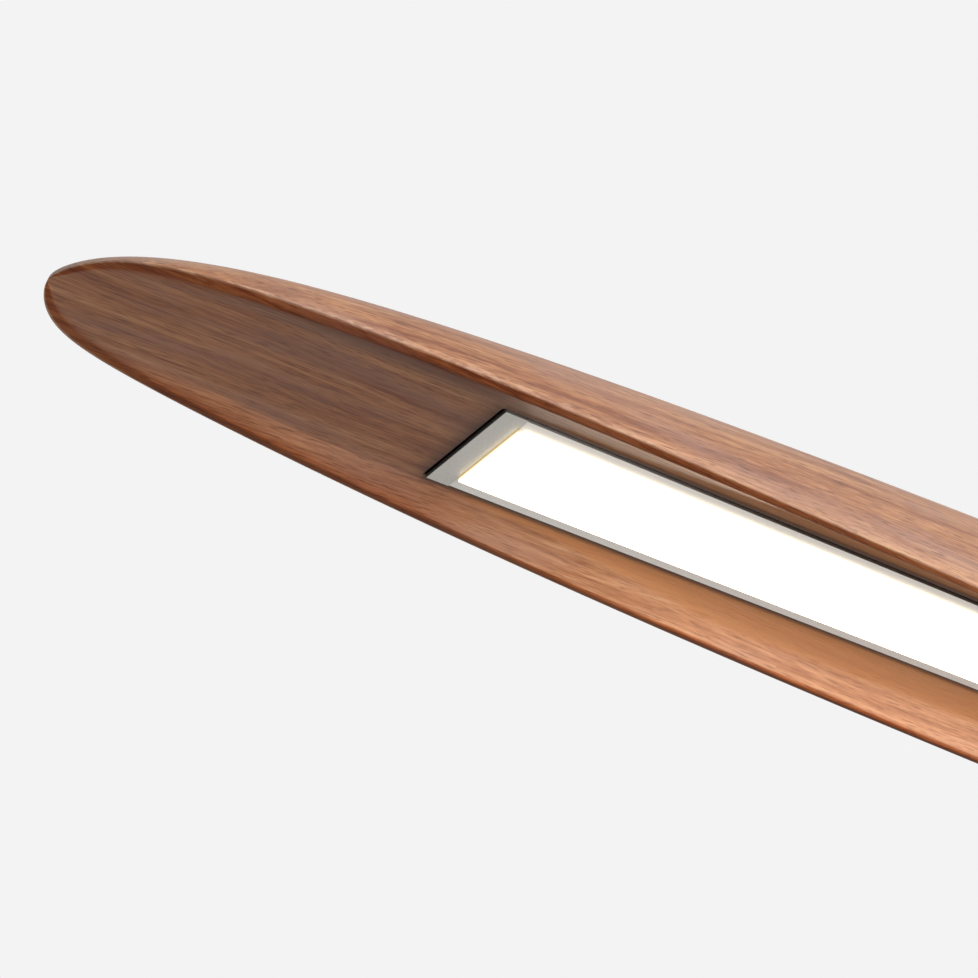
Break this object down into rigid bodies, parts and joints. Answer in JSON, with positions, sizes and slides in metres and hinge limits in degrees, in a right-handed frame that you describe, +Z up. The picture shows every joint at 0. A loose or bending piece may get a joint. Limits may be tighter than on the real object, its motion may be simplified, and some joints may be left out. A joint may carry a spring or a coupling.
{
  "type": "linear pendant light",
  "caption": "Slim canoe-shaped walnut beam with a lit opal light bar let into its underside, hung by wire grippers whose plungers are pressed to reset the height.",
  "frame": {"origin": "midway between the two wire mouths on top of the grippers, on the beam's centre plane", "axes": "+X along the beam, +Y across it, +Z up along the suspension wires"},
  "size_m": [1.1994, 0.062, 0.0769],
  "materials": {
    "walnut": "oiled walnut, satin, grain along the beam",
    "aluminium": "satin anodised extrusion",
    "cap_grey": "grey plastic with a satin metallic paint",
    "opal": "opal diffusing plastic, lit from behind",
    "zinc": "zinc plated",
    "board_white": "white solder mask",
    "phosphor": "yellow phosphor window",
    "spring_steel": "bright spring steel",
    "brass": "plain brass",
    "nickel": "satin nickel plate",
    "rubber": "black rubber",
    "block_white": "white moulded plastic",
    "lead_red": "red insulation",
    "lead_black": "black insulation"
  },
  "bodies": {
    "beam": {"beam_body": "walnut", "light_channel": "aluminium", "diffuser": "opal", "end_cap_left": "cap_grey", "end_cap_right": "cap_grey", "end_cap_screws": "zinc", "led_board": "board_white", "led_chips": "phosphor", "channel_clips": "spring_steel", "clip_screws": "zinc", "insert_left": "brass", "insert_right": "brass", "gripper_base_left": "nickel", "gripper_base_right": "nickel", "gripper_sleeve_left": "nickel", "gripper_sleeve_right": "nickel", "spring_left": "spring_steel", "spring_right": "spring_steel", "gland_body": "nickel", "gland_seal": "rubber", "gland_nut": "nickel", "terminal_block": "block_white", "terminal_screws": "brass", "block_screw": "zinc", "lead_grommet": "rubber", "lead_positive": "lead_red", "lead_negative": "lead_black"},
    "release_left": {"plunger_left": "nickel", "balls_left": "spring_steel"},
    "release_right": {"plunger_right": "nickel", "balls_right": "spring_steel"}
  },
  "joints": [
    {"name": "release_left_press", "type": "slide", "parent": "beam", "child": "release_left", "axis": [0, 0, -1], "range_m": [0, 0.0025], "stiffness_N_per_m": 500, "springref_m": -0.004, "deforming": ["spring_left"]},
    {"name": "release_right_press", "type": "slide", "parent": "beam", "child": "release_right", "axis": [0, 0, -1], "range_m": [0, 0.0025], "stiffness_N_per_m": 500, "springref_m": -0.004, "deforming": ["spring_right"]}
  ]
}
